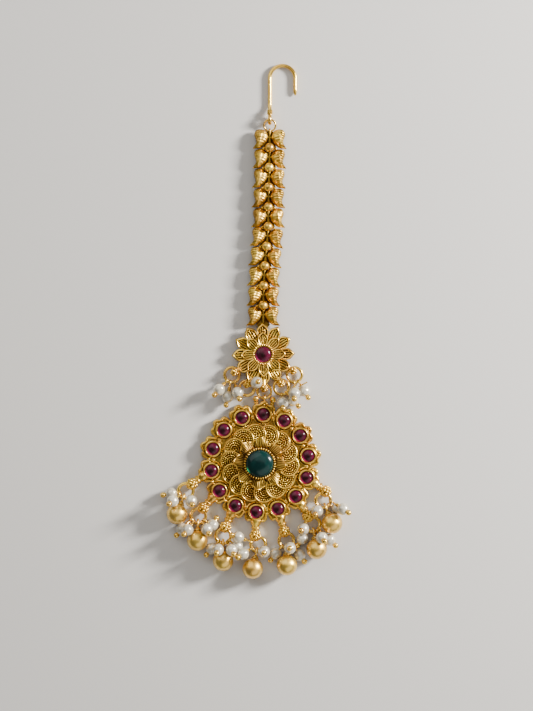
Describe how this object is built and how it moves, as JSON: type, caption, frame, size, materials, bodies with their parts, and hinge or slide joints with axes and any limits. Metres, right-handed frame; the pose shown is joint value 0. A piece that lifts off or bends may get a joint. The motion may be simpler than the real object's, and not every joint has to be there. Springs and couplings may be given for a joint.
{
  "type": "maang tikka",
  "caption": "Forehead ornament lying flat: a leaf chain with a hook, a stone-set flower, and a round medallion with red and green cabochons fringed with pearls and gold balls.",
  "frame": {"origin": "centre of the medallion's flat back, on the surface that the ornament lies on", "axes": "+Y along the chain from the medallion to the hook, +Z out of the front face, +X to the wearer's left when it is worn"},
  "size_m": [0.0409, 0.1109, 0.0066],
  "materials": {
    "antique_gold": "antique gold plating, satin on the high points and dark brown in the recesses",
    "bright_gold": "satin gold plating, smooth",
    "pearl": "pearl lustre over a slightly uneven bead, on gold-plated pins and rings",
    "ruby": "polished magenta-red cabochon",
    "emerald": "polished deep green cabochon"
  },
  "bodies": {
    "root": {"chain_link_01": "antique_gold", "chain_link_02": "antique_gold", "chain_link_03": "antique_gold", "chain_link_04": "antique_gold", "chain_link_05": "antique_gold", "chain_link_06": "antique_gold", "chain_link_07": "antique_gold", "chain_link_08": "antique_gold", "chain_link_09": "antique_gold", "chain_link_10": "antique_gold", "hook": "antique_gold", "hook_ring": "antique_gold", "connector_ring": "antique_gold", "flower": "antique_gold", "medallion": "antique_gold", "flower_ruby": "ruby", "ruby_01": "ruby", "ruby_02": "ruby", "ruby_03": "ruby", "ruby_04": "ruby", "ruby_05": "ruby", "ruby_06": "ruby", "ruby_07": "ruby", "ruby_08": "ruby", "ruby_09": "ruby", "ruby_10": "ruby", "ruby_11": "ruby", "ruby_12": "ruby", "ruby_13": "ruby", "ruby_14": "ruby", "emerald": "emerald", "flower_ring_1": "pearl", "flower_ring_2": "pearl", "flower_ring_3": "pearl", "flower_ring_4": "pearl", "pearl_ring_05": "pearl", "ball_05": "bright_gold", "pearl_ring_06": "pearl", "ball_06": "bright_gold", "pearl_ring_07": "pearl", "ball_07": "bright_gold", "pearl_ring_08": "pearl", "ball_08": "bright_gold", "pearl_ring_09": "pearl", "ball_09": "bright_gold", "pearl_ring_10": "pearl", "ball_10": "bright_gold", "pearl_ring_11": "pearl", "ball_11": "bright_gold"}
  },
  "joints": []
}
